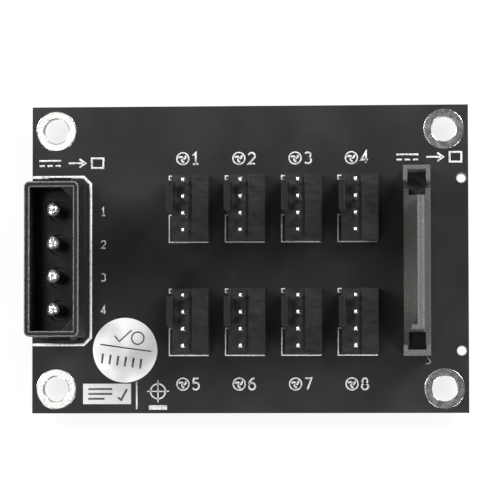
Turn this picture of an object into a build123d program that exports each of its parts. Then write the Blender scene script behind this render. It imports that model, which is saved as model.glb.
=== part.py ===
from build123d import *
from math import atan, degrees, hypot
import os

# Fan hub: a circuit board with eight fan headers, a shrouded power header and a blade power plug.
# Millimetres. The origin is the centre of the four screw holes, on the underside of the board.
# +X runs along the board towards the blade plug, +Z rises from the component side.

# Board
hole_spacing_x = 60.0
hole_spacing_y = 40.0
edge_margin = 3.75
board_thickness = 1.6

# Plated screw holes
screw_hole_diameter = 3.9
pad_diameter = 6.2
plating = 0.06
pad_sides = 24

# Bare holes for the pegs of a lying plug
peg_hole_diameter = 1.4
peg_hole_x = 32.65
peg_hole_upper_y = 12.4
peg_hole_lower_y = -14.2

# Leads under the board, all cropped to one length, and their solder
lead_tail = 1.6
solder_height = 1.0
solder_margin = 0.06
solder_sides = 6

# Fan headers, measured from the pin row
fan_columns = 4
fan_rows = 2
fan_first_x = -9.43
fan_first_y = 7.85
fan_column_pitch = 8.7
fan_row_pitch = 17.5
fan_pin_count = 4
fan_pin_pitch = 2.54
fan_pin_width = 0.64
fan_pin_height = 11.2
fan_pin_point = 0.4
fan_pin_taper = 20.0
fan_solder_pad = 1.9
fan_body_back = 2.37
fan_body_front = 3.3
fan_body_height = 3.2
fan_ledge_start = 0.72
fan_ledge_rise = 0.4
lock_tab_back = 2.5
lock_tab_thickness = 0.95
lock_tab_length = 4.5
lock_tab_height = 10.7
lock_tab_offset = 1.4
lock_tab_lead_in = 0.12
lock_ramp_depth = 0.2
lock_ramp_top = 9.6
lock_ramp_peak = 8.4
lock_ramp_foot = 8.0

# Shrouded power header
power_x = -29.27
power_y = -0.35
power_width = 8.3
power_height = 12.5
power_wall = 0.85
power_corner = 0.8
power_rim_edge = 0.2
power_floor = 2.6
power_key_chamfer = 1.9
power_key_drop = 0.5
power_rib_width = 3.4
power_rib_offset = 1.1
power_rib_depth = 0.6
power_rib_height = 11.0
power_pin_count = 4
power_pin_pitch = 5.08
power_end_room = 4.13
power_pin_diameter = 2.1
power_pin_height = 11.0
power_pin_shoulder = 1.3
power_pin_nose = 1.5
power_pin_point = 0.35
power_well_diameter = 3.2
power_well_depth = 1.0
power_tail_width = 1.3
power_solder_pad = 3.6

# Blade power plug
plug_x = 25.88
plug_width = 4.1
plug_height = 8.5
plug_floor = 0.8
plug_base_height = 3.0
plug_side_wall = 0.8
upper_tower_length = 2.3
upper_tower_wall = 0.63
upper_notch = 0.9
lower_tower_length = 1.6
lower_tower_wall = 0.63
lower_tower_end = 0.85
pit_ledge = 0.3
tongue_offset = 0.595
tongue_thickness = 1.0
tongue_centre_y = -0.87
tongue_end_room = 1.31
tongue_upper_room = 4.52
tongue_lower_room = 3.93
tongue_edge = 0.2
key_leg_reach = 0.95
key_leg_thickness = 0.76
contact_count = 15
contact_pitch = 1.27
contact_width = 0.6
contact_thickness = 0.22
contact_drop = 0.7
contact_row_offset = 0.9
contact_jog_height = 0.4
channel_margin = 0.45
channel_height = 0.9
blade_solder_pad = 1.3

# Stickers
sticker_thickness = 0.1
round_sticker_diameter = 10.0
round_sticker_x = -19.3
round_sticker_y = -14.0
small_label_width = 7.45
small_label_height = 3.15
small_label_x = -22.1
small_label_y = -20.75

# Places worked out from the sizes above
board_length = hole_spacing_x + 2 * edge_margin
board_width = hole_spacing_y + 2 * edge_margin
barrel_radius = screw_hole_diameter / 2 + plating
fan_places = [
    (fan_first_x + column * fan_column_pitch, fan_first_y - row * fan_row_pitch)
    for row in range(fan_rows)
    for column in range(fan_columns)
]
fan_pin_rises = [
    fan_pin_pitch * ((fan_pin_count - 1) / 2 - number) for number in range(fan_pin_count)
]
fan_body_length = fan_pin_count * fan_pin_pitch
power_length = (power_pin_count - 1) * power_pin_pitch + 2 * power_end_room
power_pin_places = [
    (power_x, power_y + power_pin_pitch * ((power_pin_count - 1) / 2 - number))
    for number in range(power_pin_count)
]
tongue_x = plug_x + tongue_offset
tongue_length = (contact_count - 1) * contact_pitch + 2 * tongue_end_room
tongue_upper_y = tongue_centre_y + tongue_length / 2
tongue_lower_y = tongue_centre_y - tongue_length / 2
plug_upper_y = tongue_upper_y + tongue_upper_room
plug_lower_y = tongue_lower_y - tongue_lower_room
contact_x = tongue_x - tongue_thickness / 2 + contact_thickness / 2
contact_rows = [
    tongue_centre_y + contact_pitch * ((contact_count - 1) / 2 - number)
    for number in range(contact_count)
]
contact_sides = [1 if number % 2 else -1 for number in range(contact_count)]
contact_tails = [
    (contact_x + side * contact_row_offset, y) for side, y in zip(contact_sides, contact_rows)
]

os.makedirs("parts", exist_ok=True)


def save(part, name):
    part.label = name
    export_step(part, f"parts/{name}.step")


# Circuit board: one sheet, pierced by the leads, whose plated holes are full of solder
with BuildPart() as circuit_board:
    with BuildSketch():
        Rectangle(board_length, board_width)
        with GridLocations(hole_spacing_x, hole_spacing_y, 2, 2):
            RegularPolygon(barrel_radius, pad_sides, mode=Mode.SUBTRACT)
        with Locations((peg_hole_x, peg_hole_upper_y), (peg_hole_x, peg_hole_lower_y)):
            Circle(peg_hole_diameter / 2, mode=Mode.SUBTRACT)
        for place_x, place_y in fan_places:
            with Locations((place_x, place_y)):
                with GridLocations(0, fan_pin_pitch, 1, fan_pin_count):
                    Rectangle(fan_pin_width, fan_pin_width, mode=Mode.SUBTRACT)
        with Locations(power_pin_places):
            Rectangle(power_tail_width, power_tail_width, mode=Mode.SUBTRACT)
        with Locations(contact_tails):
            Rectangle(contact_thickness, contact_width, mode=Mode.SUBTRACT)
    extrude(amount=board_thickness)
save(circuit_board.part, "circuit_board")


# Screw hole pads: a round bore through a plated barrel, with a flange of tin on each face
def mounting_pad(x, y):
    with BuildPart() as pad:
        with BuildSketch(Plane((x, y, 0))):
            RegularPolygon(barrel_radius, pad_sides)
        extrude(amount=board_thickness)
        with BuildSketch(Plane((x, y, -plating)), Plane((x, y, board_thickness))):
            RegularPolygon(pad_diameter / 2, pad_sides)
        extrude(amount=plating)
        with BuildSketch(Plane((x, y, -plating))):
            Circle(screw_hole_diameter / 2)
        extrude(amount=board_thickness + 2 * plating, mode=Mode.SUBTRACT)
    return pad.part


pad_places = [(x * hole_spacing_x / 2, y * hole_spacing_y / 2) for y in (1, -1) for x in (-1, 1)]
for number, (place_x, place_y) in enumerate(pad_places, 1):
    save(mounting_pad(place_x, place_y), f"mounting_pad_{number}")


# Fan header housing: a low body with a raised front ledge and a lock tab at its back
def fan_housing(x, y):
    body_depth = fan_body_back + fan_body_front
    body_centre = (fan_body_front - fan_body_back) / 2
    with BuildPart() as housing:
        with BuildSketch(Plane((x, y, board_thickness))):
            with Locations((body_centre, 0)):
                Rectangle(body_depth, fan_body_length)
        extrude(amount=fan_body_height)
        with BuildSketch(Plane((x, y, board_thickness + fan_body_height))):
            with Locations(((fan_ledge_start - fan_body_back) / 2, 0)):
                Rectangle(fan_ledge_start + fan_body_back, fan_body_length)
        extrude(amount=-fan_ledge_rise, mode=Mode.SUBTRACT)
        with BuildSketch(Plane((x, y, board_thickness))):
            with Locations((lock_tab_thickness / 2 - lock_tab_back, lock_tab_offset)):
                Rectangle(lock_tab_thickness, lock_tab_length)
        extrude(amount=lock_tab_height)
        tab_top = housing.faces().sort_by(Axis.Z)[-1]
        chamfer(tab_top.edges().sort_by(Axis.X)[-1], lock_tab_lead_in)
        tab_face = lock_tab_thickness - lock_tab_back
        ramp_plane = Plane(
            (x, y + lock_tab_offset, board_thickness), x_dir=(1, 0, 0), z_dir=(0, -1, 0)
        )
        with BuildSketch(ramp_plane):
            with BuildLine():
                Polyline(
                    (tab_face, lock_ramp_foot),
                    (tab_face + lock_ramp_depth, lock_ramp_peak),
                    (tab_face, lock_ramp_top),
                    close=True,
                )
            make_face()
        extrude(amount=lock_tab_length / 2, both=True)
        with BuildSketch(Plane((x, y, board_thickness))):
            with GridLocations(0, fan_pin_pitch, 1, fan_pin_count):
                Rectangle(fan_pin_width, fan_pin_width)
        extrude(amount=fan_body_height, mode=Mode.SUBTRACT)
    return housing.part


# Fan pins: square wire with a tapered point, cropped below the solder
def fan_pins(x, y):
    shank = lead_tail + board_thickness + fan_pin_height - fan_pin_point
    with BuildPart() as pins:
        with BuildSketch(Plane((x, y, -lead_tail))):
            with GridLocations(0, fan_pin_pitch, 1, fan_pin_count):
                Rectangle(fan_pin_width, fan_pin_width)
        extrude(amount=shank)
        with BuildSketch(Plane((x, y, shank - lead_tail))):
            with GridLocations(0, fan_pin_pitch, 1, fan_pin_count):
                Rectangle(fan_pin_width, fan_pin_width)
        extrude(amount=fan_pin_point, taper=fan_pin_taper)
    return pins.part


# Solder: a cone at each lead, wide at the board and closing on the lead
def solder_cones(places, lead_x, lead_y, pad):
    tip_radius = hypot(lead_x, lead_y) / 2 + solder_margin
    slope = degrees(atan((pad / 2 - tip_radius) / solder_height))
    with BuildPart() as solder:
        with BuildSketch():
            with Locations(places):
                RegularPolygon(pad / 2, solder_sides, major_radius=False)
        extrude(amount=solder_height, taper=slope)
        with BuildSketch():
            with Locations(places):
                Rectangle(lead_x, lead_y)
        extrude(amount=solder_height, mode=Mode.SUBTRACT)
        mirror(about=Plane.XY, mode=Mode.REPLACE)
    return solder.part


for number, (place_x, place_y) in enumerate(fan_places, 1):
    save(fan_housing(place_x, place_y), f"fan_housing_{number}")
    save(fan_pins(place_x, place_y), f"fan_pins_{number}")
    leads = [(place_x, place_y + rise) for rise in fan_pin_rises]
    save(solder_cones(leads, fan_pin_width, fan_pin_width, fan_solder_pad), f"fan_solder_{number}")


# Power header housing: a shroud with two cut corners that key the plug, and a well round each pin
with BuildPart() as power_housing:
    with BuildSketch(Plane((power_x, power_y, board_thickness))):
        RectangleRounded(power_width, power_length, power_corner)
    extrude(amount=power_height)
    with BuildSketch(Plane((power_x, power_y, board_thickness + power_floor))):
        mouth = Rectangle(power_width - 2 * power_wall, power_length - 2 * power_wall)
        chamfer(mouth.vertices().group_by(Axis.X)[-1], power_key_chamfer)
    extrude(amount=power_height - power_floor, mode=Mode.SUBTRACT)
    with BuildSketch(Plane((power_x, power_y, board_thickness + power_height))):
        Rectangle(power_width - 2 * power_wall, power_length - 2 * power_wall)
    extrude(amount=-power_key_drop, mode=Mode.SUBTRACT)
    rim = power_housing.faces().sort_by(Axis.Z)[-1]
    chamfer(rim.edges(), power_rim_edge)
    with BuildSketch(Plane((power_x, power_y, board_thickness))):
        with Locations((power_rib_offset, 0)):
            Rectangle(power_rib_width, power_length + 2 * power_rib_depth)
        Rectangle(power_width, power_length - power_wall, mode=Mode.SUBTRACT)
    extrude(amount=power_rib_height)
    with BuildSketch(Plane.XY.offset(board_thickness + power_floor)):
        with Locations(power_pin_places):
            Circle(power_well_diameter / 2)
    extrude(amount=-power_well_depth, mode=Mode.SUBTRACT)
    with BuildSketch(Plane.XY.offset(board_thickness)):
        with Locations(power_pin_places):
            Rectangle(power_tail_width, power_tail_width)
    extrude(amount=power_floor, mode=Mode.SUBTRACT)
save(power_housing.part, "power_housing")


# Power pin: a round contact with a bullet nose on a square stem that is cropped below the solder
def power_pin(x, y):
    foot = board_thickness + power_floor - power_well_depth
    top = board_thickness + power_pin_height
    with BuildPart() as pin:
        with BuildSketch(Plane((x, y, 0), x_dir=(1, 0, 0), z_dir=(0, -1, 0))):
            with BuildLine():
                Polyline(
                    (0, foot),
                    (power_pin_diameter / 2, foot),
                    (power_pin_diameter / 2, top - power_pin_nose),
                    (power_pin_shoulder / 2, top - power_pin_point),
                    (0, top),
                    close=True,
                )
            make_face()
        revolve(axis=Axis((x, y, 0), (0, 0, 1)))
        with BuildSketch(Plane((x, y, -lead_tail))):
            Rectangle(power_tail_width, power_tail_width)
        extrude(amount=lead_tail + foot)
    return pin.part


for number, (place_x, place_y) in enumerate(power_pin_places, 1):
    save(power_pin(place_x, place_y), f"power_pin_{number}")

power_solder = solder_cones(power_pin_places, power_tail_width, power_tail_width, power_solder_pad)
save(power_solder, "power_solder")


# Blade plug housing: a base with a keyed tongue between two end towers that guide the plug
plug_left = plug_x - plug_width / 2
plug_right = plug_x + plug_width / 2
base_upper_y = plug_upper_y - upper_tower_length - upper_notch
tongue_left = tongue_x - tongue_thickness / 2
tongue_right = tongue_x + tongue_thickness / 2
channel_reach = contact_row_offset + channel_margin


def slab(left, right, lower, upper):
    with Locations(((left + right) / 2, (lower + upper) / 2)):
        Rectangle(right - left, upper - lower)


with BuildPart() as blade_housing:
    with BuildSketch(Plane.XY.offset(board_thickness)):
        slab(plug_left, plug_right, plug_lower_y, plug_upper_y)
    extrude(amount=plug_floor)
    with BuildSketch(Plane.XY.offset(board_thickness)):
        slab(plug_left, plug_right, plug_lower_y, base_upper_y)
    extrude(amount=plug_base_height)
    with BuildSketch(Plane.XY.offset(board_thickness)):
        slab(plug_left, plug_right, plug_upper_y - upper_tower_length, plug_upper_y)
        slab(plug_left, plug_right, plug_lower_y, plug_lower_y + lower_tower_length)
        slab(tongue_left, tongue_right, tongue_lower_y, tongue_upper_y)
        slab(
            tongue_left - key_leg_reach,
            tongue_left,
            tongue_lower_y,
            tongue_lower_y + key_leg_thickness,
        )
    extrude(amount=plug_height)
    with BuildSketch(Plane.XY.offset(board_thickness + plug_floor)):
        slab(
            plug_left + upper_tower_wall,
            plug_right - upper_tower_wall,
            base_upper_y,
            plug_upper_y - upper_tower_wall,
        )
        slab(
            plug_left + plug_side_wall,
            plug_right - plug_side_wall,
            tongue_upper_y + pit_ledge,
            base_upper_y,
        )
        slab(
            plug_left + plug_side_wall,
            plug_right - plug_side_wall,
            plug_lower_y + lower_tower_length,
            tongue_lower_y - pit_ledge,
        )
        slab(
            plug_left + lower_tower_wall,
            plug_right - lower_tower_wall,
            plug_lower_y + lower_tower_end,
            plug_lower_y + lower_tower_length,
        )
    extrude(amount=plug_height - plug_floor, mode=Mode.SUBTRACT)
    tongue_top = blade_housing.faces().group_by(Axis.Z)[-1].sort_by(SortBy.AREA)[-1]
    chamfer(tongue_top.edges(), tongue_edge)
    with BuildSketch(Plane.XY.offset(board_thickness)):
        slab(
            contact_x - channel_reach, contact_x + channel_reach, tongue_lower_y, tongue_upper_y
        )
    extrude(amount=channel_height, mode=Mode.SUBTRACT)
    with BuildSketch(Plane.XY.offset(board_thickness + channel_height)):
        with Locations([(contact_x, y) for y in contact_rows]):
            Rectangle(contact_thickness, contact_width)
    extrude(amount=plug_height - contact_drop - channel_height, mode=Mode.SUBTRACT)
save(blade_housing.part, "blade_housing")

# Blade contacts: flat strips down the tongue, bent to two rows of tails under the base
contact_top = board_thickness + plug_height - contact_drop
jog = board_thickness + contact_jog_height
with BuildPart() as blade_contacts:
    for side, y in zip(contact_sides, contact_rows):
        half = side * contact_thickness / 2
        tail_x = contact_x + side * contact_row_offset
        with BuildSketch(Plane((0, y, 0), x_dir=(1, 0, 0), z_dir=(0, -1, 0))):
            with BuildLine():
                Polyline(
                    (contact_x - half, contact_top),
                    (contact_x + half, contact_top),
                    (contact_x + half, jog + contact_thickness),
                    (tail_x + half, jog + contact_thickness),
                    (tail_x + half, -lead_tail),
                    (tail_x - half, -lead_tail),
                    (tail_x - half, jog),
                    (contact_x - half, jog),
                    close=True,
                )
            make_face()
        extrude(amount=contact_width / 2, both=True)
save(blade_contacts.part, "blade_contacts")

blade_solder = solder_cones(contact_tails, contact_thickness, contact_width, blade_solder_pad)
save(blade_solder, "blade_solder")


# Stickers on the component side
with BuildPart() as round_sticker:
    with BuildSketch(Plane((round_sticker_x, round_sticker_y, board_thickness))):
        Circle(round_sticker_diameter / 2)
    extrude(amount=sticker_thickness)
save(round_sticker.part, "round_sticker")

with BuildPart() as small_label:
    with BuildSketch(Plane((small_label_x, small_label_y, board_thickness))):
        Rectangle(small_label_width, small_label_height)
    extrude(amount=sticker_thickness)
save(small_label.part, "small_label")
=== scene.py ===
import bmesh
import bpy
import numpy as np
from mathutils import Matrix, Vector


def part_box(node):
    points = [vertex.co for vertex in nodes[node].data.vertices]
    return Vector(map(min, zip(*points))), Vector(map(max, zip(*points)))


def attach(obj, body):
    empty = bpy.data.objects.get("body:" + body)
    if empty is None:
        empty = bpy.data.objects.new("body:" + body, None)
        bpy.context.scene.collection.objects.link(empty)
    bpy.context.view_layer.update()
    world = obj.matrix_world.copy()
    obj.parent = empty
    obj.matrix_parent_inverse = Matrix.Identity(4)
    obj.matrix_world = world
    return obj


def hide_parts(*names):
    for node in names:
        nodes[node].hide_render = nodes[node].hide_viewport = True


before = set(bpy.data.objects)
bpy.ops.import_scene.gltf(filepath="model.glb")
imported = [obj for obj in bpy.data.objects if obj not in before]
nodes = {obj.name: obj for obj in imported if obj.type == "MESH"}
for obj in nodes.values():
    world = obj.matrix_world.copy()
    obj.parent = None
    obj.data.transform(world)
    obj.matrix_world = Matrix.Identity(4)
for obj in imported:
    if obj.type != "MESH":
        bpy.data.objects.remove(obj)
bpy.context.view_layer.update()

# Circuit board: a sheet of black glass laminate, 1.6 mm thick, with solder mask on both faces.
# The mask is a baked film that shines softly and has a faint orange peel. A router cut the edges,
# which show the bare laminate and its layers of glass cloth.
board_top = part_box("circuit_board")[1].z * 1000
mask_black = "#222224"
mask_worn = "#29292B"
laminate_brown = "#231F19"
laminate_pale = "#3B372E"


def linear(code):
    """sRGB hex to linear light: c / 12.92 for the darkest, ((c + 0.055) / 1.055) ** 2.4 above."""
    c = np.array([int(code[i : i + 2], 16) for i in (1, 3, 5)]) / 255
    rgb = np.where(c <= 0.04045, c / 12.92, ((c + 0.055) / 1.055) ** 2.4)
    return (*rgb.tolist(), 1.0)


def add_node(tree, kind, settings=(), links=(), onward=()):
    """One node: settings fill its sockets or its own properties, links come into its sockets,
    and onward links leave from its outputs."""
    node = tree.nodes.new(kind)
    for key, value in dict(settings).items():
        if isinstance(key, int) or key in node.inputs:
            node.inputs[key].default_value = value
        else:
            setattr(node, key, value)
    for key, source in dict(links).items():
        tree.links.new(source, node.inputs[key])
    for key, target in dict(onward).items():
        tree.links.new(node.outputs[key], target)
    return node


def finish(name, sockets):
    """A material whose shader has these values on its own sockets."""
    material = bpy.data.materials.new(name)
    material.use_nodes = True
    shader = material.node_tree.nodes["Principled BSDF"]
    for socket, value in sockets.items():
        shader.inputs[socket].default_value = value
    return material, material.node_tree, shader.inputs


def dress(node, material):
    """Gives a CAD node its material."""
    nodes[node].data.materials.clear()
    nodes[node].data.materials.append(material)


def middle(node):
    """The centre of a CAD node's box, seen from above, in millimetres."""
    low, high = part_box(node)
    return np.array([low.x + high.x, low.y + high.y]) * 500


# Satin mask: black with pale clouds 7 mm wide, and a peel 0.3 mm wide that breaks up the sheen.
# Faces that stand upright are the cut edge, where cloth layers lie 0.2 mm apart.
solder_mask, tree, shader = finish("satin_black_solder_mask", {"Specular IOR Level": 0.25})
place = add_node(tree, "ShaderNodeTexCoord").outputs["Object"]
cloud = add_node(tree, "ShaderNodeTexNoise", {"Scale": 1000 / 7, "Detail": 3}, {"Vector": place})
wear = add_node(
    tree,
    "ShaderNodeMapRange",
    {"From Min": 0.35, "From Max": 0.65},
    {"Value": cloud.outputs["Fac"]},
)
mask_colour = add_node(
    tree,
    "ShaderNodeMix",
    {"data_type": "RGBA", 6: linear(mask_black), 7: linear(mask_worn)},
    {0: wear.outputs["Result"]},
)
cloth = add_node(
    tree,
    "ShaderNodeTexWave",
    {"bands_direction": "Z", "Scale": 1000 / (0.2 * 20), "Distortion": 1.5},
    {"Vector": place},
)
edge_colour = add_node(
    tree,
    "ShaderNodeMix",
    {"data_type": "RGBA", 6: linear(laminate_brown), 7: linear(laminate_pale)},
    {0: cloth.outputs["Fac"]},
)
facing = add_node(
    tree,
    "ShaderNodeSeparateXYZ",
    links={"Vector": add_node(tree, "ShaderNodeNewGeometry").outputs["Normal"]},
)
upright = add_node(tree, "ShaderNodeMath", {"operation": "ABSOLUTE"}, {0: facing.outputs["Z"]})
on_face = add_node(
    tree, "ShaderNodeMath", {"operation": "GREATER_THAN", 1: 0.5}, {0: upright.outputs[0]}
)
add_node(
    tree,
    "ShaderNodeMix",
    {"data_type": "RGBA"},
    {0: on_face.outputs[0], 6: edge_colour.outputs[2], 7: mask_colour.outputs[2]},
    {2: shader["Base Color"]},
)
add_node(
    tree,
    "ShaderNodeMapRange",
    {"To Min": 0.42, "To Max": 0.55},
    {"Value": cloud.outputs["Fac"]},
    {"Result": shader["Roughness"]},
)
peel = add_node(tree, "ShaderNodeTexNoise", {"Scale": 1000 / 0.3, "Detail": 2}, {"Vector": place})
add_node(
    tree,
    "ShaderNodeBump",
    {"Distance": 4e-6},
    {"Height": peel.outputs["Fac"]},
    {"Normal": shader["Normal"]},
)
dress("circuit_board", solder_mask)

# Screw hole pads: each hole is plated through, and hot air levelled the tin on both flanges.
# That leaves a thin uneven coat, with a rounded lip at the bore and a low step at its outer edge.
bore_radius = 1.95
flange_radius = 3.1
tin_thickness = 0.06
lip_radius = 0.12
tin_swell = 0.008
tin_sink = 0.02
tin_bright = "#F0F0EE"
tin_dull = "#D0D0CD"
# Painted shade for the plated barrel's wall
barrel_painted_shade = "#2A2A29"


def skin(name, grids, loop_rows=False):
    """One mesh from grids of points in millimetres, each closed round its columns.
    A quad joins two neighbours along each way; rows that shrink to a point close an end."""
    points = []
    faces = []
    start = 0
    for grid in grids:
        rows, columns = grid.shape[:2]
        index = start + np.arange(rows * columns).reshape(rows, columns)
        if loop_rows:
            index = np.vstack([index, index[:1]])
        index = np.hstack([index, index[:, :1]])
        quads = [index[:-1, :-1], index[:-1, 1:], index[1:, 1:], index[1:, :-1]]
        faces.append(np.stack(quads, -1).reshape(-1, 4))
        points.append(grid.reshape(-1, 3))
        start += rows * columns
    mesh = bpy.data.meshes.new(name)
    mesh.from_pydata((np.vstack(points) / 1000).tolist(), [], np.vstack(faces).tolist())
    work = bmesh.new()
    work.from_mesh(mesh)
    bmesh.ops.remove_doubles(work, verts=work.verts, dist=1e-7)
    bmesh.ops.recalc_face_normals(work, faces=work.faces)
    work.to_mesh(mesh)
    work.free()
    mesh.shade_smooth()
    piece = bpy.data.objects.new(name, mesh)
    bpy.context.scene.collection.objects.link(piece)
    return piece


def fit(piece, material, slot, *replaced):
    """Puts a new piece on the board, with its finish, in place of the named nodes."""
    piece.data.materials.append(material)
    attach(piece, "root")
    if replaced:
        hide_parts(*replaced)


def turned(x, y, radius, height):
    """A section turned round an upright axis: x + r cos, y + r sin, and the height.
    Radius and height are arrays of rows by columns, one column for each direction."""
    turn = np.linspace(0, 2 * np.pi, height.shape[1], endpoint=False)
    return np.stack([x + radius * np.cos(turn), y + radius * np.sin(turn), height], -1)


def tinned_ring(x, y, phase):
    """Two flanges joined by a barrel. Each flange has a quarter-round lip at the bore, swells by
    three waves round the hole that fade to lip and edge, and ends in a step into the board."""
    half = board_top / 2
    lip = np.linspace(0, np.pi / 2, 6)
    across = np.sin(np.linspace(0, np.pi / 2, 18))[1:]
    reach = flange_radius - bore_radius - lip_radius
    rise = np.concatenate([np.sin(lip), 1 - 0.5 * across**24]) * tin_thickness
    fade = np.concatenate([0 * lip, np.sin(np.pi * across)])
    turn = np.linspace(0, 2 * np.pi, 96, endpoint=False)
    wave = sum(np.cos(k * turn + phase * k) / k for k in (3, 5, 8))
    flange = half + rise[:, None] + tin_swell * fade[:, None] * wave
    step = np.full((1, 96), half - tin_sink)
    radius = np.concatenate(
        [
            bore_radius + lip_radius * (1 - np.cos(lip)),
            bore_radius + lip_radius + reach * across,
            [flange_radius, bore_radius + tin_thickness],
        ]
    )
    height = np.vstack([flange, step, step])
    radius = np.concatenate([radius, radius[::-1]])[:, None]
    return turned(x, y, radius, half + np.vstack([height, -height[::-1]]))


# Levelled tin: bright flat patches between dull ones 0.8 mm wide, with dimples half as wide that
# break up what it mirrors. The barrel is painted dark grey, a painted shade for its shadowed wall.
levelled_tin, tree, shader = finish("hot_air_levelled_tin", {"Metallic": 1.0})
place = add_node(tree, "ShaderNodeTexCoord").outputs["Object"]
patch = add_node(tree, "ShaderNodeTexNoise", {"Scale": 1000 / 0.8, "Detail": 4}, {"Vector": place})
frost = add_node(
    tree, "ShaderNodeMapRange", {"From Min": 0.4, "From Max": 0.6}, {"Value": patch.outputs["Fac"]}
)
flange_colour = add_node(
    tree,
    "ShaderNodeMix",
    {"data_type": "RGBA", 6: linear(tin_dull), 7: linear(tin_bright)},
    {0: frost.outputs["Result"]},
)
level = add_node(tree, "ShaderNodeSeparateXYZ", links={"Vector": place})
in_barrel = add_node(
    tree,
    "ShaderNodeMath",
    {"operation": "COMPARE", 1: board_top / 2000, 2: (board_top / 2 - tin_sink) / 1000},
    {0: level.outputs["Z"]},
)
# Painted shade: inside the barrel the tin is coloured dark grey
add_node(
    tree,
    "ShaderNodeMix",
    {"data_type": "RGBA", 7: linear(barrel_painted_shade)},
    {0: in_barrel.outputs[0], 6: flange_colour.outputs[2]},
    {2: shader["Base Color"]},
)
add_node(
    tree,
    "ShaderNodeMapRange",
    {"To Min": 0.12, "To Max": 0.3},
    {"Value": patch.outputs["Fac"]},
    {"Result": shader["Roughness"]},
)
dimple = add_node(
    tree, "ShaderNodeTexNoise", {"Scale": 1000 / 0.45, "Detail": 3}, {"Vector": place}
)
add_node(
    tree,
    "ShaderNodeBump",
    {"Distance": 1.3e-5},
    {"Height": dimple.outputs["Fac"]},
    {"Normal": shader["Normal"]},
)
for number in range(1, 5):
    x, y = middle(f"mounting_pad_{number}")
    pad = skin(f"tinned_pad_{number}", [tinned_ring(x, y, 0.9 * number)], loop_rows=True)
    fit(pad, levelled_tin, "levelled_tin", f"mounting_pad_{number}")

# Silkscreen: white epoxy ink printed on the component side. It draws the outline of every
# connector, a number and a fan sign at each fan header, and a current sign at both power inlets.
ink_height = 0.02
fan_line = 0.2
sign_line = 0.28
fan_outline_left, fan_outline_right = -2.99, 3.1
fan_outline_low, fan_outline_high = -5.18, 5.05
sign_above, sign_below = 7.75, -9.6
sign_radius = 0.92
fan_numeral = 1.72
pin_numeral = 1.15
power_outline = [
    (-33.7, 12.84),
    (-25.75, 12.84),
    (-24.67, 11.75),
    (-24.67, -12.05),
    (-25.75, -13.14),
    (-33.7, -13.14),
]
cross_x, cross_y = -14.2, -20.35
inlet_places = [(-31.0, 15.0), (24.4, 15.65)]
ink_white = "#D6D6D4"
ink_thin = "#A0A09E"
fan_places = [middle(f"fan_pins_{number}") for number in range(1, 9)]
power_places = [middle(f"power_pin_{number}") for number in range(1, 5)]


def stroke(points, width, height=ink_height, base=board_top):
    """A flat ribbon that follows the points, mitred at its corners, with a square section:
    each point moves out by half the width along the mean of its two edge normals. The ribbon
    sinks 0.005 mm into what it lies on."""
    path = np.asarray(points, float)
    closed = np.allclose(path[0], path[-1])
    if closed:
        path = path[:-1]
        before = path - np.roll(path, 1, 0)
        after = np.roll(path, -1, 0) - path
    else:
        step = np.diff(path, axis=0)
        before = np.vstack([step[:1], step])
        after = np.vstack([step, step[-1:]])
    before, after = [
        np.stack([-d[:, 1], d[:, 0]], -1) / np.linalg.norm(d, axis=1)[:, None]
        for d in (before, after)
    ]
    mitre = width / 2 * (before + after) / (1 + (before * after).sum(1))[:, None]
    low = np.full((len(path), 1), base - 0.005)
    high = np.full((len(path), 1), base + height)
    sides = [(path + mitre, low), (path + mitre, high), (path - mitre, high), (path - mitre, low)]
    grid = np.stack([np.hstack(side) for side in sides], 1)
    if closed:
        return np.concatenate([grid, grid[:1]])
    end = grid.mean(1, keepdims=True).repeat(4, 1)
    return np.concatenate([end[:1], grid, end[-1:]])


def arc(centre, radius, start, end, count=14):
    """Points on an ellipse about the centre, from one angle to another in degrees."""
    angle = np.radians(np.linspace(start, end, count))
    return np.asarray(centre) + np.stack([np.cos(angle), np.sin(angle)], -1) * radius


# Each numeral is one unit high, drawn as runs and arcs from its lower left corner
numerals = {
    1: [[(0.06, 0.76), (0.32, 1.0), (0.32, 0.0)], [(0.08, 0.0), (0.56, 0.0)]],
    2: [np.vstack([arc((0.31, 0.7), (0.29, 0.3), 165, -35), [(0.03, 0.0), (0.62, 0.0)]])],
    3: [
        arc((0.3, 0.76), (0.26, 0.24), 150, -85),
        arc((0.3, 0.27), (0.3, 0.27), 85, -150),
    ],
    4: [[(0.46, 0.0), (0.46, 1.0), (0.02, 0.3), (0.64, 0.3)]],
    5: [
        [(0.56, 1.0), (0.12, 1.0), (0.08, 0.55)],
        arc((0.3, 0.32), (0.3, 0.32), 135, -150),
    ],
    6: [
        arc((0.55, 0.32), (0.53, 0.7), 95, 175, 8),
        arc((0.31, 0.3), (0.29, 0.3), 0, 360, 22),
    ],
    7: [[(0.02, 1.0), (0.6, 1.0), (0.22, 0.0)]],
    8: [
        arc((0.31, 0.76), (0.23, 0.24), 0, 360, 20),
        arc((0.31, 0.27), (0.29, 0.27), 0, 360, 22),
    ],
}


def number_strokes(digit, corner, height, width):
    """The strokes of one numeral of that height, with its lower left corner at a place."""
    return [stroke(corner + np.asarray(line) * height, width) for line in numerals[digit]]


def fan_sign(centre, radius):
    """A ring and three bent blades: each blade goes out from the hub as its angle turns by 80."""
    reach = np.linspace(0.12, 0.68, 8)
    swing = np.radians(80 * (reach - reach[0]) / (reach[-1] - reach[0]))
    lines = [stroke(arc(centre, radius, 0, 360, 28), 0.22)]
    for start in (90, 210, 330):
        angle = np.radians(start) + swing
        blade = radius * reach[:, None] * np.stack([np.cos(angle), np.sin(angle)], -1)
        lines.append(stroke(centre + blade, 0.3))
    return lines


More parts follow.
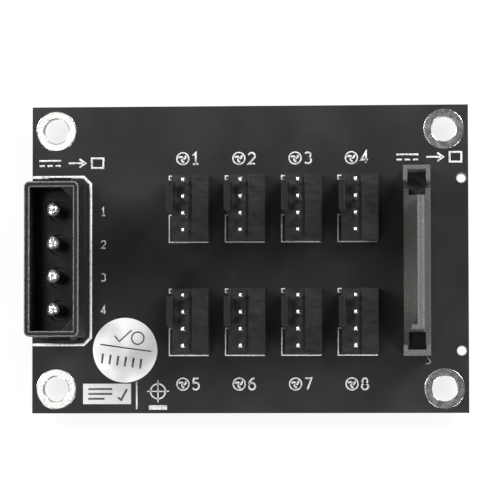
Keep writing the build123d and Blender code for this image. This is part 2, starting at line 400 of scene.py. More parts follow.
outline_ink = []
number_ink = []
for number, (x, y) in enumerate(fan_places, 1):
    left, right = x + fan_outline_left, x + fan_outline_right
    low, high = y + fan_outline_low, y + fan_outline_high
    lower_notch = [(left + 0.65, y - 1.0), (left, y - 1.0), (left, low), (right, low)]
    upper_notch = [(right, high), (left, high), (left, y + 4.5), (left + 0.5, y + 4.5)]
    outline_ink += [stroke(lower_notch, fan_line), stroke(upper_notch, fan_line)]
    sign_y = y + (sign_above if number < 5 else sign_below)
    number_ink += fan_sign((x - 0.9, sign_y), sign_radius)
    number_ink += number_strokes(number, (x + 0.55, sign_y - 0.85), fan_numeral, sign_line)
for number, (x, y) in enumerate(power_places, 1):
    number_ink += number_strokes(number, (x + 6.2, y - 0.4), pin_numeral, 0.2)

# The power header's outline, a divider, a centring cross and a bar beside the stickers
power_ink = [
    stroke(power_outline, 0.42),
    stroke([(-17.5, -18.9), (-17.5, -23.1)], 0.24),
    stroke([(-15.6, -22.85), (-12.8, -22.85)], 0.7),
    stroke(arc((cross_x, cross_y), 1.15, 0, 360, 32), 0.24),
    stroke([(cross_x - 1.7, cross_y), (cross_x + 1.7, cross_y)], 0.2),
    stroke([(cross_x, cross_y - 1.7), (cross_x, cross_y + 1.7)], 0.2),
]
# A direct current sign, an arrow and a box at each power inlet
inlet_box = np.array([(-0.9, -0.75), (0.9, -0.75), (0.9, 0.75), (-0.9, 0.75), (-0.9, -0.75)])
for x, y in inlet_places:
    power_ink.append(stroke([(x - 1.7, y + 0.4), (x + 1.7, y + 0.4)], sign_line))
    for dash in (x - 1.25, x, x + 1.25):
        power_ink.append(stroke([(dash - 0.42, y - 0.4), (dash + 0.42, y - 0.4)], sign_line))
    power_ink.append(stroke([(x + 2.9, y), (x + 5.4, y)], sign_line))
    power_ink.append(stroke([(x + 4.6, y + 0.65), (x + 5.5, y), (x + 4.6, y - 0.65)], sign_line))
    power_ink.append(stroke(inlet_box + (x + 7.4, y), sign_line))

# Epoxy ink: a dense white that thins to grey where the screen's mesh held it back.
epoxy_ink, tree, shader = finish("white_epoxy_ink", {"Roughness": 0.55, "IOR": 1.5})
place = add_node(tree, "ShaderNodeTexCoord").outputs["Object"]
mesh_mark = add_node(
    tree, "ShaderNodeTexNoise", {"Scale": 1000 / 0.35, "Detail": 2}, {"Vector": place}
)
thinning = add_node(
    tree,
    "ShaderNodeMapRange",
    {"From Min": 0.3, "From Max": 0.5},
    {"Value": mesh_mark.outputs["Fac"]},
)
add_node(
    tree,
    "ShaderNodeMix",
    {"data_type": "RGBA", 6: linear(ink_thin), 7: linear(ink_white)},
    {0: thinning.outputs["Result"]},
    {2: shader["Base Color"]},
)
add_node(
    tree,
    "ShaderNodeBump",
    {"Distance": 1e-5},
    {"Height": mesh_mark.outputs["Fac"]},
    {"Normal": shader["Normal"]},
)
fit(skin("printed_fan_outlines", outline_ink), epoxy_ink, "white_film")
fit(skin("printed_numbers", number_ink), epoxy_ink, "white_film")
fit(skin("printed_power_marks", power_ink), epoxy_ink, "white_film")

# Peg holes: two bare holes at the edge, which keep the mask back by a tenth of a millimetre.
# The ring of laminate left bare round each is paler than the mask.
peg_places = [(32.65, 12.4), (32.65, -14.2)]
bare_pale = "#6E6C65"
bare_dark = "#4C4A44"
bare_laminate, tree, shader = finish("bare_glass_laminate", {"Roughness": 0.6, "IOR": 1.52})
place = add_node(tree, "ShaderNodeTexCoord").outputs["Object"]
weave = add_node(
    tree, "ShaderNodeTexNoise", {"Scale": 1000 / 0.2, "Detail": 2}, {"Vector": place}
)
add_node(
    tree,
    "ShaderNodeMix",
    {"data_type": "RGBA", 6: linear(bare_dark), 7: linear(bare_pale)},
    {0: weave.outputs["Fac"]},
    {2: shader["Base Color"]},
)
rings = [stroke(arc(centre, 0.77, 0, 360, 40), 0.12, 0.008) for centre in peg_places]
fit(skin("bare_peg_rings", rings), bare_laminate, "solder_mask")

# Copper runs: foil 0.035 mm thick under the mask, which joins like pins on the underside.
# The supply pins get wide runs, and the speed pins of a row a narrow one.
run_height = 0.035
supply_run = 2.0
speed_run = 0.5
pin_rises = (3.81, 1.27, -1.27, -3.81)
first_x, last_x = fan_places[0][0], fan_places[3][0]
upper_y, lower_y = fan_places[0][1], fan_places[4][1]
return_x, supply_x = first_x - 4.6, last_x + 4.2
returned, supplied = power_places[2], power_places[3]
upper_return, lower_return = upper_y + pin_rises[0], lower_y + pin_rises[0]
upper_supply, lower_supply = upper_y + pin_rises[1], lower_y + pin_rises[1]
upper_speed, lower_speed = upper_y + pin_rises[3], lower_y + pin_rises[3]
copper_routes = [
    ([(return_x, lower_return), (return_x, upper_return), (last_x, upper_return)], supply_run),
    ([returned, (return_x, returned[1])], supply_run),
    ([(return_x, lower_return), (last_x, lower_return)], supply_run),
    ([supplied, (first_x - 7, supplied[1]), (first_x - 6, lower_supply)], supply_run),
    ([(first_x - 6, lower_supply), (supply_x, lower_supply)], supply_run),
    ([(supply_x, lower_supply), (supply_x, upper_supply), (first_x, upper_supply)], supply_run),
    ([(first_x, upper_speed), (last_x, upper_speed)], speed_run),
    ([(first_x, lower_speed), (last_x, lower_speed)], speed_run),
]
runs = [stroke(route, width, run_height, -run_height) for route, width in copper_routes]
fit(skin("masked_copper_runs", runs), solder_mask, "solder_mask")

# Fan header housings: eight black nylon mouldings, each a low body with a raised front ledge and
# a lock tab at its back. They have eased edges, a spark-eroded grain and an ejector's ring mark.
nylon_black = "#202021"
nylon_grey = "#2F2F30"
# Painted shade for the top of the lock tab
nylon_tab_shade = "#1A1A1B"
nylon_edge = 0.06
ledge_top = board_top + 3.2
tab_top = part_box("fan_housing_1")[1].z


def ease(node, width_mm):
    """Rounds the sharp edges of a CAD node by that width, over its own faces."""
    weld = nodes[node].modifiers.new("weld", "WELD")
    weld.merge_threshold = 1e-7
    flat = nodes[node].modifiers.new("flat", "DECIMATE")
    flat.decimate_type = "DISSOLVE"
    flat.angle_limit = np.radians(1)
    bevel = nodes[node].modifiers.new("eased_edge", "BEVEL")
    bevel.width = width_mm / 1000
    bevel.segments = 2
    bevel.limit_method = "ANGLE"
    bevel.angle_limit = np.radians(25)


# Moulded nylon: near black, with flow streaks across the body and a dull grain of 0.12 mm.
# From 5 to 2 mm below its top the lock tab is painted blacker, a painted shade on its top.
moulded_nylon, tree, shader = finish("moulded_black_nylon", {"Specular IOR Level": 0.3})
place = add_node(tree, "ShaderNodeTexCoord").outputs["Object"]
along = add_node(tree, "ShaderNodeMapping", {"Scale": (0.35, 1.0, 1.0)}, {"Vector": place})
streak = add_node(
    tree, "ShaderNodeTexNoise", {"Scale": 1000 / 0.7, "Detail": 4}, {"Vector": along.outputs[0]}
)
flow = add_node(
    tree,
    "ShaderNodeMapRange",
    {"From Min": 0.35, "From Max": 0.68},
    {"Value": streak.outputs["Fac"]},
)
body_colour = add_node(
    tree,
    "ShaderNodeMix",
    {"data_type": "RGBA", 6: linear(nylon_black), 7: linear(nylon_grey)},
    {0: flow.outputs["Result"]},
)
level = add_node(tree, "ShaderNodeSeparateXYZ", links={"Vector": place})
# Painted shade: the upper lock tab is coloured blacker towards its top
tab_top_shade = add_node(
    tree,
    "ShaderNodeMapRange",
    {"From Min": tab_top - 0.005, "From Max": tab_top - 0.002},
    {"Value": level.outputs["Z"]},
)
add_node(
    tree,
    "ShaderNodeMix",
    {"data_type": "RGBA", 7: linear(nylon_tab_shade)},
    {0: tab_top_shade.outputs["Result"], 6: body_colour.outputs[2]},
    {2: shader["Base Color"]},
)
add_node(
    tree,
    "ShaderNodeMapRange",
    {"To Min": 0.3, "To Max": 0.44},
    {"Value": streak.outputs["Fac"]},
    {"Result": shader["Roughness"]},
)
spark = add_node(
    tree, "ShaderNodeTexNoise", {"Scale": 1000 / 0.12, "Detail": 2}, {"Vector": place}
)
add_node(
    tree,
    "ShaderNodeBump",
    {"Distance": 1e-5},
    {"Height": spark.outputs["Fac"]},
    {"Normal": shader["Normal"]},
)
for number in range(1, 9):
    dress(f"fan_housing_{number}", moulded_nylon)
    ease(f"fan_housing_{number}", nylon_edge)
marks = [
    stroke(arc((x + 2.05, y - 0.95), (0.3, 0.42), 0, 360, 24), 0.12, 0.03, ledge_top)
    for x, y in fan_places
]
fit(skin("ejector_rings", marks), moulded_nylon, "header_plastic")

# Fan pins: four square tinned wires to a header, pressed through the housing and soldered below.
# The cut ends are coined to a blunt point with a small frosted crown.
wire_half = 0.32
wire_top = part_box("fan_pins_1")[1].z * 1000
lead_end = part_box("fan_pins_1")[0].z * 1000
wire_bright = "#EFEFED"
wire_dull = "#C4C4C1"
crown_rim, crown_edge = 0.04, 0.012


def squircle(turn, half_x, half_y, power):
    """Distance from the middle to the edge of a rounded rectangle, along each direction:
    one over the power mean of cosine over half width and sine over half depth."""
    ratio = np.abs(np.cos(turn) / half_x) ** power + np.abs(np.sin(turn) / half_y) ** power
    return ratio ** (-1 / power)


def square_bar(x, y, half, levels, sizes):
    """A closed bar of rounded square section: at each level the section is scaled by its size."""
    turn = np.linspace(0, 2 * np.pi, 24, endpoint=False)
    reach = squircle(turn, half, half, 10)
    size = np.asarray(sizes)[:, None] * reach
    return turned(x, y, size, np.asarray(levels)[:, None].repeat(24, 1))


# Tinned wire: a bright drawn metal with dull smears half a millimetre wide. The coined crown is
# frosted, so it scatters light from all round and looks white.
tinned_wire, tree, shader = finish("bright_tinned_wire", {})
place = add_node(tree, "ShaderNodeTexCoord").outputs["Object"]
smear = add_node(tree, "ShaderNodeTexNoise", {"Scale": 1000 / 0.5, "Detail": 2}, {"Vector": place})
drawn = add_node(
    tree, "ShaderNodeMapRange", {"From Min": 0.25, "From Max": 0.5}, {"Value": smear.outputs["Fac"]}
)
add_node(
    tree,
    "ShaderNodeMix",
    {"data_type": "RGBA", 6: linear(wire_dull), 7: linear(wire_bright)},
    {0: drawn.outputs["Result"]},
    {2: shader["Base Color"]},
)
level = add_node(tree, "ShaderNodeSeparateXYZ", links={"Vector": place})
for socket, drawn_value, frosted_value in (("Metallic", 1.0, 0.1), ("Roughness", 0.24, 0.6)):
    add_node(
        tree,
        "ShaderNodeMapRange",
        {
            "From Min": (wire_top - crown_rim) / 1000,
            "From Max": (wire_top - crown_edge) / 1000,
            "To Min": drawn_value,
            "To Max": frosted_value,
        },
        {"Value": level.outputs["Z"]},
        {"Result": shader[socket]},
    )
tail = lead_end + np.array([0, 0, 0.1, 0.13])
crown = wire_top - np.array([0.4, 0.36, 0.08, 0.045, crown_edge, 0.0])
pin_sizes = [0, 0.75, 0.98, 1, 1, 0.95, 0.62, 0.55, 0.35, 0]
for number, (x, y) in enumerate(fan_places, 1):
    bars = [
        square_bar(x, y + rise, wire_half, np.concatenate([tail, crown]), pin_sizes)
        for rise in pin_rises
    ]
    fit(skin(f"coined_pins_{number}", bars), tinned_wire, "pin_tin", f"fan_pins_{number}")

# Power header: a deep black nylon shroud whose inner corners are cut on one side, so that the
# plug fits one way round. Its rim is eased and has painted pale edges, and its pins stand in wells.
shroud_black = "#131314"
shroud_grey = "#19191A"
# Painted highlight colour for the rim's sloping edges
shroud_painted_highlight = "#767676"
shroud_low, shroud_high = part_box("power_housing")
shroud_edge = 0.14
rim_depth = 0.35
matt_from, matt_to = 0.4, 0.2

# Shroud nylon: black with clouds 2 mm wide and a coarse grain. A polished core leaves it glossy
# inside and a spark-eroded cavity matt outside. The sloping edges of the rim are painted pale in
# a gritty line, a painted highlight where they catch the light.
shroud_nylon, tree, shader = finish("deep_moulded_nylon", {})
place = add_node(tree, "ShaderNodeTexCoord").outputs["Object"]
cloud = add_node(tree, "ShaderNodeTexNoise", {"Scale": 1000 / 2.2, "Detail": 3}, {"Vector": place})
body_colour = add_node(
    tree,
    "ShaderNodeMix",
    {"data_type": "RGBA", 6: linear(shroud_black), 7: linear(shroud_grey)},
    {0: cloud.outputs["Fac"]},
)
level = add_node(tree, "ShaderNodeSeparateXYZ", links={"Vector": place})
grit = add_node(tree, "ShaderNodeTexNoise", {"Scale": 1000 / 0.2, "Detail": 3}, {"Vector": place})
facing = add_node(
    tree,
    "ShaderNodeSeparateXYZ",
    links={"Vector": add_node(tree, "ShaderNodeNewGeometry").outputs["Normal"]},
)
sloping = add_node(
    tree,
    "ShaderNodeMapRange",
    {"From Min": 0.98, "From Max": 0.85},
    {"Value": facing.outputs["Z"]},
)
near_rim = add_node(
    tree,
    "ShaderNodeMath",
    {"operation": "GREATER_THAN", 1: shroud_high.z - rim_depth / 1000},
    {0: level.outputs["Z"]},
)
rim_edge = add_node(
    tree,
    "ShaderNodeMath",
    {"operation": "MULTIPLY"},
    {0: sloping.outputs["Result"], 1: near_rim.outputs[0]},
)
gritty = add_node(
    tree, "ShaderNodeMapRange", {"From Min": 0.3, "From Max": 0.6}, {"Value": grit.outputs["Fac"]}
)
rim_highlight_share = add_node(
    tree,
    "ShaderNodeMath",
    {"operation": "MULTIPLY"},
    {0: rim_edge.outputs[0], 1: gritty.outputs["Result"]},
)
# Painted highlight: the rim's sloping edges are coloured pale grey
add_node(
    tree,
    "ShaderNodeMix",
    {"data_type": "RGBA", 7: linear(shroud_painted_highlight)},
    {0: rim_highlight_share.outputs[0], 6: body_colour.outputs[2]},
    {2: shader["Base Color"]},
)
off_centre = add_node(
    tree,
    "ShaderNodeVectorMath",
    {"operation": "SUBTRACT", 1: (shroud_low + shroud_high) / 2},
    {0: place},
)
either_side = add_node(
    tree, "ShaderNodeVectorMath", {"operation": "ABSOLUTE"}, {0: off_centre.outputs["Vector"]}
)
past_wall = add_node(
    tree,
    "ShaderNodeVectorMath",
    {"operation": "SUBTRACT", 1: (shroud_high - shroud_low) / 2},
    {0: either_side.outputs["Vector"]},
)
apart = add_node(tree, "ShaderNodeSeparateXYZ", links={"Vector": past_wall.outputs["Vector"]})
nearest_wall = add_node(
    tree,
    "ShaderNodeMath",
    {"operation": "MAXIMUM"},
    {0: apart.outputs["X"], 1: apart.outputs["Y"]},
)
outside = add_node(
    tree,
    "ShaderNodeMapRange",
    {"From Min": -matt_from / 1000, "From Max": -matt_to / 1000},
    {"Value": nearest_wall.outputs[0]},
)
add_node(
    tree,
    "ShaderNodeMapRange",
    {"To Min": 0.3, "To Max": 0.05},
    {"Value": outside.outputs["Result"]},
    {"Result": shader["Specular IOR Level"]},
)
polish = add_node(
    tree, "ShaderNodeMapRange", {"To Min": 0.2, "To Max": 0.36}, {"Value": cloud.outputs["Fac"]}
)
add_node(
    tree,
    "ShaderNodeMath",
    {"operation": "MULTIPLY_ADD", 1: 0.25},
    {0: outside.outputs["Result"], 2: polish.outputs["Result"]},
    {0: shader["Roughness"]},
)
add_node(
    tree,
    "ShaderNodeBump",
    {"Distance": 6e-6},
    {"Height": grit.outputs["Fac"]},
    {"Normal": shader["Normal"]},
)
dress("power_housing", shroud_nylon)
ease("power_housing", shroud_edge)


def wall_plate(y, low, high, width, proud):
    """A thin plate on the shroud's side: a rectangle that shrinks to its middle on both faces."""
    corners = np.array([(-1, 0), (1, 0), (1, 1), (-1, 1)])
    outline = np.column_stack([y + corners[:, 0] * width / 2, low + corners[:, 1] * (high - low)])
    core = outline.mean(0) + (outline - outline.mean(0)) * 0.8
    rings = [core * 0 + outline.mean(0), outline, core, core * 0 + outline.mean(0)]
    depth = shroud_high.x * 1000 + np.array([-0.02, -0.02, proud, proud])
    grid = [np.column_stack([np.full(4, x), ring]) for x, ring in zip(depth, rings)]
    return np.stack(grid)


# A raised witness mark on the outer wall beside each pin, left by the mould's cores
plates = [wall_plate(y, board_top + 6.2, board_top + 9.2, 1.1, 0.05) for x, y in power_places]
fit(skin("core_witness_marks", plates), shroud_nylon, "shroud_plastic")

# Power pins: tinned brass sheet rolled to a tube of 2.1 mm with a seam down one side, its nose
# swaged shut in uneven folds. A square stem goes through the housing and the board.
pin_radius = 1.05
pin_foot = board_top + 1.6
pin_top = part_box("power_pin_1")[1].z * 1000
nose_length = 1.3
stem_half = 0.65
rolled_dull = "#8A8A88"
rolled_bright = "#F2F2F0"
swage = np.random.default_rng(11)


def rolled_pin(x, y):
    """A tube closed by a blunt superellipse nose. The seam is a narrow dent of Gaussian section.
    Three folds pull the nose in by a cubed cosine, and six random waves crumple its crown."""
    turn = np.linspace(0, 2 * np.pi, 72, endpoint=False)
    climb = np.sin(np.linspace(0, np.pi / 2, 18))[1:]
    shank = np.array([0.0, 1.0, 4.0, 7.0, pin_top - nose_length - pin_foot])
    height = np.concatenate([pin_foot + shank, pin_top - nose_length * (1 - climb)])[:, None]
    nose = np.concatenate([np.zeros(len(shank)), climb])[:, None]
    radius = pin_radius * (1 - nose**2.6) ** (1 / 2.2)
    seam, lean = swage.uniform(0, 2 * np.pi, 2)
    away = np.angle(np.exp(1j * (turn - seam)))
    dent = 0.08 * np.exp(-((away / 0.09) ** 2)) * radius / pin_radius
    folds = (0.5 + 0.5 * np.cos(3 * (turn - lean))) ** 3
    phases = swage.uniform(0, 6.28, 6)
    paces = swage.uniform(4, 12, 6)
    waves = 0
    for order, phase, pace in zip(range(2, 8), phases, paces):
        waves = waves + np.cos(order * turn + phase + pace * nose) / 3
    pull = 0.24 * np.sin(np.pi * nose**1.5) * folds + 0.05 * nose * waves
    reach = radius * (1 - pull) - dent
    drop = 0.1 * nose**2 * (radius / pin_radius) * (waves - 0.6)
    foot = np.zeros((1, 72))
    return turned(
        x,
        y,
        np.vstack([foot, reach]),
        np.vstack([foot + pin_foot, np.minimum(height + drop, pin_top)]),
    )


# Rolled tin: bright foil-like metal, with dull rubbed patches 0.4 mm wide. The swaged nose is
# frosted by its folds and looks paler than the tube.
rolled_tin, tree, shader = finish("rolled_tinned_brass", {"Roughness": 0.17})
place = add_node(tree, "ShaderNodeTexCoord").outputs["Object"]
smear = add_node(tree, "ShaderNodeTexNoise", {"Scale": 1000 / 0.4, "Detail": 3}, {"Vector": place})
bright = add_node(
    tree, "ShaderNodeMapRange", {"From Min": 0.32, "From Max": 0.5}, {"Value": smear.outputs["Fac"]}
)
add_node(
    tree,
    "ShaderNodeMix",
    {"data_type": "RGBA", 6: linear(rolled_dull), 7: linear(rolled_bright)},
    {0: bright.outputs["Result"]},
    {2: shader["Base Color"]},
)
add_node(
    tree,
    "ShaderNodeBump",
    {"Distance": 8e-5},
    {"Height": smear.outputs["Fac"]},
    {"Normal": shader["Normal"]},
)
level = add_node(tree, "ShaderNodeSeparateXYZ", links={"Vector": place})
add_node(
    tree,
    "ShaderNodeMapRange",
    {
        "From Min": (pin_top - nose_length) / 1000,
        "From Max": (pin_top - 0.5 * nose_length) / 1000,
        "To Min": 1.0,
        "To Max": 0.75,
    },
    {"Value": level.outputs["Z"]},
    {"Result": shader["Metallic"]},
)
stem_levels = np.array([lead_end, lead_end, lead_end + 0.1, lead_end + 0.13, pin_foot, pin_foot])
for number, (x, y) in enumerate(power_places, 1):
    stem = square_bar(x, y, stem_half, stem_levels, [0, 0.88, 0.99, 1, 1, 0])
    pin = skin(f"rolled_pin_{number}", [rolled_pin(x, y), stem])
    fit(pin, rolled_tin, "power_pin_tin", f"power_pin_{number}")

# Blade plug: one moulding of glass-filled plastic, paler than the nylon, with a keyed tongue
# between two end towers. The glass shows as pale specks everywhere outside the pits.
# Painted shade for the pits, and painted light for the top
filled_pit_shade = "#38383A"
filled_grey = "#4A4A4B"
filled_top_light = "#4E4E4F"
filled_speck = "#7C7C7C"
flash_thick = "#5A5A5A"
flash_thin = "#9A9A9A"
plug_edge = 0.06
plug_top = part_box("blade_housing")[1].z
plug_base = (board_top + 3.0) / 1000

# Filled plastic: grey with specks of 0.2 mm, its pits painted dark as painted shade and its
# upper parts painted paler towards the top as painted light.
glass_filled, tree, shader = finish("glass_filled_plastic", {"IOR": 1.55})
place = add_node(tree, "ShaderNodeTexCoord").outputs["Object"]
speck = add_node(tree, "ShaderNodeTexNoise", {"Scale": 1000 / 0.22, "Detail": 4}, {"Vector": place})
level = add_node(tree, "ShaderNodeSeparateXYZ", links={"Vector": place})
# Painted shade: below the base the pits are coloured dark
out_of_pit_shade = add_node(
    tree,
    "ShaderNodeMapRange",
    {"From Min": plug_base - 0.0018, "From Max": plug_base - 0.0004},
    {"Value": level.outputs["Z"]},
)
# Painted light: the plug is coloured paler towards its top
towards_lit_top = add_node(
    tree,
    "ShaderNodeMapRange",
    {"From Min": plug_base + 0.001, "From Max": plug_top - 0.0005},
    {"Value": level.outputs["Z"]},
)
shaded_lower_colour = add_node(
    tree,
    "ShaderNodeMix",
    {"data_type": "RGBA", 6: linear(filled_pit_shade), 7: linear(filled_grey)},
    {0: out_of_pit_shade.outputs["Result"]},
)
lit_upper_colour = add_node(
    tree,
    "ShaderNodeMix",
    {"data_type": "RGBA", 7: linear(filled_top_light)},
    {0: towards_lit_top.outputs["Result"], 6: shaded_lower_colour.outputs[2]},
)
glass = add_node(
    tree,
    "ShaderNodeMapRange",
    {"From Min": 0.55, "From Max": 0.75},
    {"Value": speck.outputs["Fac"]},
)
glass_share = add_node(
    tree,
    "ShaderNodeMath",
    {"operation": "MULTIPLY"},
    {0: glass.outputs["Result"], 1: out_of_pit_shade.outputs["Result"]},
)
add_node(
    tree,
    "ShaderNodeMix",
    {"data_type": "RGBA", 7: linear(filled_speck)},
    {0: glass_share.outputs[0], 6: lit_upper_colour.outputs[2]},
    {2: shader["Base Color"]},
)
add_node(
    tree,
    "ShaderNodeMapRange",
    {"To Min": 0.42, "To Max": 0.62},
    {"Value": speck.outputs["Fac"]},
    {"Result": shader["Roughness"]},
)
add_node(
    tree,
    "ShaderNodeBump",
    {"Distance": 2e-5},
    {"Height": speck.outputs["Fac"]},
    {"Normal": shader["Normal"]},
)
dress("blade_housing", glass_filled)
ease("blade_housing", plug_edge)

# A thread of flash still hangs at the plug's lower end, where the mould parted. It is thin enough
# to look paler than the plug.
flash_path = [(27.2, -14.8), (27.5, -15.4), (27.88, -15.9), (27.45, -16.2), (27.05, -16.15)]
thin_flash, tree, shader = finish("thin_plastic_flash", {"Roughness": 0.5})
place = add_node(tree, "ShaderNodeTexCoord").outputs["Object"]
thin = add_node(tree, "ShaderNodeTexNoise", {"Scale": 1000 / 0.5, "Detail": 1}, {"Vector": place})
add_node(
    tree,
    "ShaderNodeMix",
    {"data_type": "RGBA", 6: linear(flash_thick), 7: linear(flash_thin)},
    {0: thin.outputs["Fac"]},
    {2: shader["Base Color"]},
)
flash = skin("moulding_flash", [stroke(flash_path, 0.13, 0.1)])
fit(flash, thin_flash, "plug_plastic")

# Blade contacts: fifteen stamped strips with a thin gold flash, inlaid in one face of the tongue.
# The flash is rubbed to a paler yellow in patches 0.3 mm wide.
gold_deep = "#B98F45"
gold_rubbed = "#E3BF75"
flashed_gold, tree, shader = finish("gold_flashed_contact", {"Metallic": 1.0, "Roughness": 0.25})
place = add_node(tree, "ShaderNodeTexCoord").outputs["Object"]
rub = add_node(tree, "ShaderNodeTexNoise", {"Scale": 1000 / 0.3, "Detail": 2}, {"Vector": place})
add_node(
    tree,
    "ShaderNodeMix",
    {"data_type": "RGBA", 6: linear(gold_deep), 7: linear(gold_rubbed)},
    {0: rub.outputs["Fac"]},
    {2: shader["Base Color"]},
)
dress("blade_contacts", flashed_gold)

# Solder joints: under the board each lead stands in a bright concave fillet that wets its pad.
# Hand and wave soldering leave each a little higher or lower than the next.
fillet_height = 1.0
fan_pad = 0.95
power_pad = 1.8
blade_pad = 0.65
blade_count = 15
blade_pitch = 1.27
blade_row = 0.9
blade_half_x, blade_half_y = 0.11, 0.3
solder_dull = "#9C9C9A"
solder_bright = "#E0E0DE"
wetted = np.random.default_rng(5)


def fillet(x, y, half_x, half_y, pad_radius):
    """A quarter ellipse from the pad's edge, where it lies flat, to the lead, where it stands up.
    The section goes from a circle at the board to the lead's own rounded rectangle."""
    turn = np.linspace(0, 2 * np.pi, 28, endpoint=False)
    t = np.linspace(0, 1, 9)[:, None] * np.pi / 2
    climb = fillet_height * wetted.uniform(0.88, 1.0)
    narrow_x = pad_radius + (half_x + 0.03 - pad_radius) * np.sin(t)
    narrow_y = pad_radius + (half_y + 0.03 - pad_radius) * np.sin(t)
    reach = squircle(turn, narrow_x, narrow_y, 2 + 8 * np.sin(t) ** 2)
    height = (-climb * (1 - np.cos(t)) - 0.03).repeat(28, 1)
    reach = np.vstack([0 * reach[:1], reach[:1], reach, 0 * reach[:1]])
    height = np.vstack([0 * height[:1], 0 * height[:1], height, height[-1:]])
    return turned(x, y, reach, height)


# Bright solder: a smooth mirror-like metal with slow ripples and duller cooled patches.
bright_solder, tree, shader = finish("bright_solder", {"Metallic": 1.0, "Roughness": 0.16})
place = add_node(tree, "ShaderNodeTexCoord").outputs["Object"]
ripple = add_node(tree, "ShaderNodeTexNoise", {"Scale": 1000 / 0.8, "Detail": 2}, {"Vector": place})
add_node(
    tree,
    "ShaderNodeMix",
    {"data_type": "RGBA", 6: linear(solder_dull), 7: linear(solder_bright)},
    {0: ripple.outputs["Fac"]},
    {2: shader["Base Color"]},
)
add_node(
    tree,
    "ShaderNodeBump",
    {"Distance": 3e-5},
    {"Height": ripple.outputs["Fac"]},
    {"Normal": shader["Normal"]},
)
for number, (x, y) in enumerate(fan_places, 1):
    joints = [fillet(x, y + rise, wire_half, wire_half, fan_pad) for rise in pin_rises]
    piece = skin(f"fan_solder_joints_{number}", joints)
    fit(piece, bright_solder, "solder", f"fan_solder_{number}")
joints = [fillet(x, y, stem_half, stem_half, power_pad) for x, y in power_places]
fit(skin("power_solder_joints", joints), bright_solder, "solder", "power_solder")
row_x, row_y = middle("blade_solder")
joints = []
for lead in range(blade_count):
    x = row_x + (blade_row if lead % 2 else -blade_row)
    y = row_y + blade_pitch * (blade_count // 2 - lead)
    joints.append(fillet(x, y, blade_half_x, blade_half_y, blade_pad))
fit(skin("blade_solder_joints", joints), bright_solder, "solder", "blade_solder")

# Stickers: a round one of metallised film and a small white paper label. Both have plain marks
# printed in grey ink: a tick, a ring, lines and bars.
film_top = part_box("round_sticker")[1].z * 1000
label_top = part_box("small_label")[1].z * 1000
film_grey = "#D4D4D6"
film_bright = "#FAFAFA"
paper_grey = "#B8B8B8"
paper_white = "#CBCBCB"
print_dark = "#3A3A3C"
print_pale = "#4C4C4E"
tilt = np.radians(-8)
lean = np.array([[np.cos(tilt), np.sin(tilt)], [-np.sin(tilt), np.cos(tilt)]])

# Metallised film: a silvery satin that waves over 4.5 mm where the glue lifts it, with grey and
# white patches on the waves as a painted reflection.
metal_film, tree, shader = finish("metallised_film", {"Metallic": 0.25, "Roughness": 0.3})
place = add_node(tree, "ShaderNodeTexCoord").outputs["Object"]
lift = add_node(tree, "ShaderNodeTexNoise", {"Scale": 1000 / 4.5, "Detail": 1}, {"Vector": place})
# Painted reflection: grey and white patches that follow the waves
painted_wave_reflection = add_node(
    tree, "ShaderNodeMapRange", {"From Min": 0.28, "From Max": 0.5}, {"Value": lift.outputs["Fac"]}
)
add_node(
    tree,
    "ShaderNodeMix",
    {"data_type": "RGBA", 6: linear(film_grey), 7: linear(film_bright)},
    {0: painted_wave_reflection.outputs["Result"]},
    {2: shader["Base Color"]},
)
add_node(
    tree,
    "ShaderNodeBump",
    {"Distance": 2e-4},
    {"Height": lift.outputs["Fac"]},
    {"Normal": shader["Normal"]},
)
dress("round_sticker", metal_film)

# Label paper: white coated paper with a faint fibre of half a millimetre.
label_paper, tree, shader = finish("coated_label_paper", {"Roughness": 0.6})
place = add_node(tree, "ShaderNodeTexCoord").outputs["Object"]
fibre = add_node(tree, "ShaderNodeTexNoise", {"Scale": 1000 / 0.5, "Detail": 3}, {"Vector": place})
add_node(
    tree,
    "ShaderNodeMix",
    {"data_type": "RGBA", 6: linear(paper_grey), 7: linear(paper_white)},
    {0: fibre.outputs["Fac"]},
    {2: shader["Base Color"]},
)
dress("small_label", label_paper)

sticker_lines = [
    ([(-3.9, 0.35), (4.05, 0.35)], 0.2),
    ([(-1.9, 2.0), (-1.1, 1.2), (0.6, 3.2)], 0.2),
    (arc((1.7, 2.1), 0.95, 0, 360, 30), 0.2),
]
sticker_lines += [([(left, -1.0), (left, -2.5)], 0.3) for left in np.linspace(-3.3, 2.7, 6)]
label_lines = [
    [(-2.9, 0.75), (0.8, 0.75)],
    [(-2.9, 0.0), (0.8, 0.0)],
    [(-2.9, -0.75), (-0.4, -0.75)],
    [(1.7, -0.55), (2.2, -0.95), (3.1, 0.75)],
]
sticker_ink = [
    stroke(middle("round_sticker") + np.asarray(line) @ lean, width, ink_height, film_top)
    for line, width in sticker_lines
]
label_ink = [
    stroke(middle("small_label") + np.asarray(line), 0.3, ink_height, label_top)
    for line in label_lines
]
# Printing ink: dark grey, a little uneven.
grey_ink, tree, shader = finish("grey_printing_ink", {"Roughness": 0.5})
place = add_node(tree, "ShaderNodeTexCoord").outputs["Object"]
uneven = add_node(tree, "ShaderNodeTexNoise", {"Scale": 1000 / 0.3, "Detail": 2}, {"Vector": place})
add_node(
    tree,
    "ShaderNodeMix",
    {"data_type": "RGBA", 6: linear(print_dark), 7: linear(print_pale)},
    {0: uneven.outputs["Fac"]},
    {2: shader["Base Color"]},
)
fit(skin("sticker_print", sticker_ink), grey_ink, "silver_film")
fit(skin("label_print", label_ink), grey_ink, "white_film")

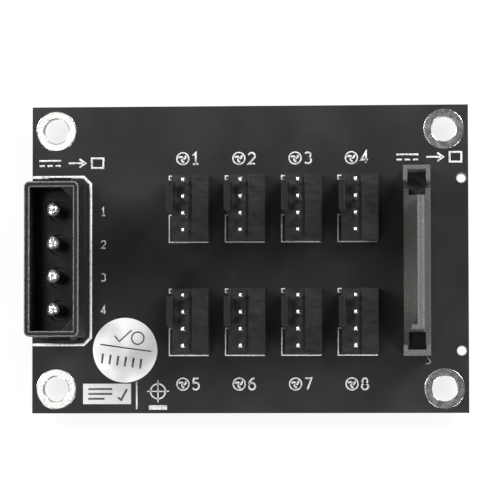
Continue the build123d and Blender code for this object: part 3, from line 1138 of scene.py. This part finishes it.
# Floor, lamps and camera: a plain white floor under the cropped leads and four soft lamps low at
# the corners. A small lamp overhead is what the pads at the left reflect. The camera has a long
# lens and looks almost straight down.
floor_level = lead_end / 1000
floor_half = 1.5
floor_white = "#FAFAFA"
glow_share = 0.8
dim_light = 0.14
floor_mesh = bpy.data.meshes.new("floor")
corners = np.array([(-1, -1), (1, -1), (1, 1), (-1, 1)]) * floor_half
floor_mesh.from_pydata([(x, y, floor_level) for x, y in corners], [], [(0, 1, 2, 3)])
floor = bpy.data.objects.new("floor", floor_mesh)
bpy.context.scene.collection.objects.link(floor)

# White paint: for rays from the camera, from gloss and through glass it mostly glows white, and
# the rest of it takes the object's shadow. Other rays find a pale floor. From below it is clear.
white_floor, tree, shader = finish(
    "white_floor", {"Base Color": linear(floor_white), "Specular IOR Level": 0.0}
)
path = add_node(tree, "ShaderNodeLightPath")
seen = add_node(
    tree,
    "ShaderNodeMath",
    {"operation": "MAXIMUM"},
    {0: path.outputs["Is Camera Ray"], 1: path.outputs["Is Glossy Ray"]},
)
seen = add_node(
    tree,
    "ShaderNodeMath",
    {"operation": "MAXIMUM"},
    {0: seen.outputs[0], 1: path.outputs["Is Transmission Ray"]},
)
ground = add_node(tree, "ShaderNodeNewGeometry")
share = add_node(
    tree, "ShaderNodeMath", {"operation": "MULTIPLY", 1: glow_share}, {0: seen.outputs[0]}
)
glow = add_node(tree, "ShaderNodeEmission", {"Color": (1, 1, 1, 1), "Strength": 1.0})
upper_side = add_node(
    tree,
    "ShaderNodeMixShader",
    links={
        0: share.outputs[0],
        1: tree.nodes["Principled BSDF"].outputs[0],
        2: glow.outputs[0],
    },
)
add_node(
    tree,
    "ShaderNodeMixShader",
    links={
        0: ground.outputs["Backfacing"],
        1: upper_side.outputs[0],
        2: add_node(tree, "ShaderNodeBsdfTransparent").outputs[0],
    },
    onward={0: tree.nodes["Material Output"].inputs["Surface"]},
)
floor_mesh.materials.append(white_floor)

# The room: dim all round the object, and white where the camera looks past the floor
world = bpy.data.worlds.new("studio")
bpy.context.scene.world = world
world.use_nodes = True
tree = world.node_tree
dim = add_node(tree, "ShaderNodeBackground", {"Color": (1, 1, 1, 1), "Strength": dim_light})
white = add_node(tree, "ShaderNodeBackground", {"Color": (1, 1, 1, 1), "Strength": 1.0})
add_node(
    tree,
    "ShaderNodeMixShader",
    links={
        0: add_node(tree, "ShaderNodeLightPath").outputs["Is Camera Ray"],
        1: dim.outputs[0],
        2: white.outputs[0],
    },
    onward={0: tree.nodes["World Output"].inputs["Surface"]},
)

# Each lamp is turned to face the middle of the board
for name, stand, width, depth, power in (
    ("upper_left_lamp", (-0.5, 0.24, 0.26), 0.3, 0.3, 4.4),
    ("upper_right_lamp", (0.4, 0.38, 0.26), 0.3, 0.3, 5.5),
    ("lower_right_lamp", (0.4, -0.38, 0.26), 0.3, 0.3, 3.1),
    ("lower_left_lamp", (-0.3, -0.46, 0.26), 0.3, 0.3, 2.2),
    ("overhead_lamp", (-0.112, 0.025, 0.6), 0.22, 0.09, 0.13),
):
    lamp = bpy.data.lights.new(name, "AREA")
    lamp.shape = "RECTANGLE"
    lamp.size = width
    lamp.size_y = depth
    lamp.energy = power
    holder = bpy.data.objects.new(name, lamp)
    holder.location = stand
    x, y, z = stand
    holder.rotation_euler = (np.arctan2(np.hypot(x, y), z), 0, np.arctan2(-y, -x) - np.pi / 2)
    bpy.context.scene.collection.objects.link(holder)

lens = bpy.data.cameras.new("camera")
lens.lens = 222.813
lens.sensor_width = 36
lens.clip_start = 0.01
camera = bpy.data.objects.new("camera", lens)
camera.location = (0.0300135, -0.0204484, 0.4781576)
camera.rotation_euler = (0.04567, 0.06282, -0.00159)
bpy.context.scene.collection.objects.link(camera)
bpy.context.scene.camera = camera
bpy.context.scene.view_settings.view_transform = "Standard"
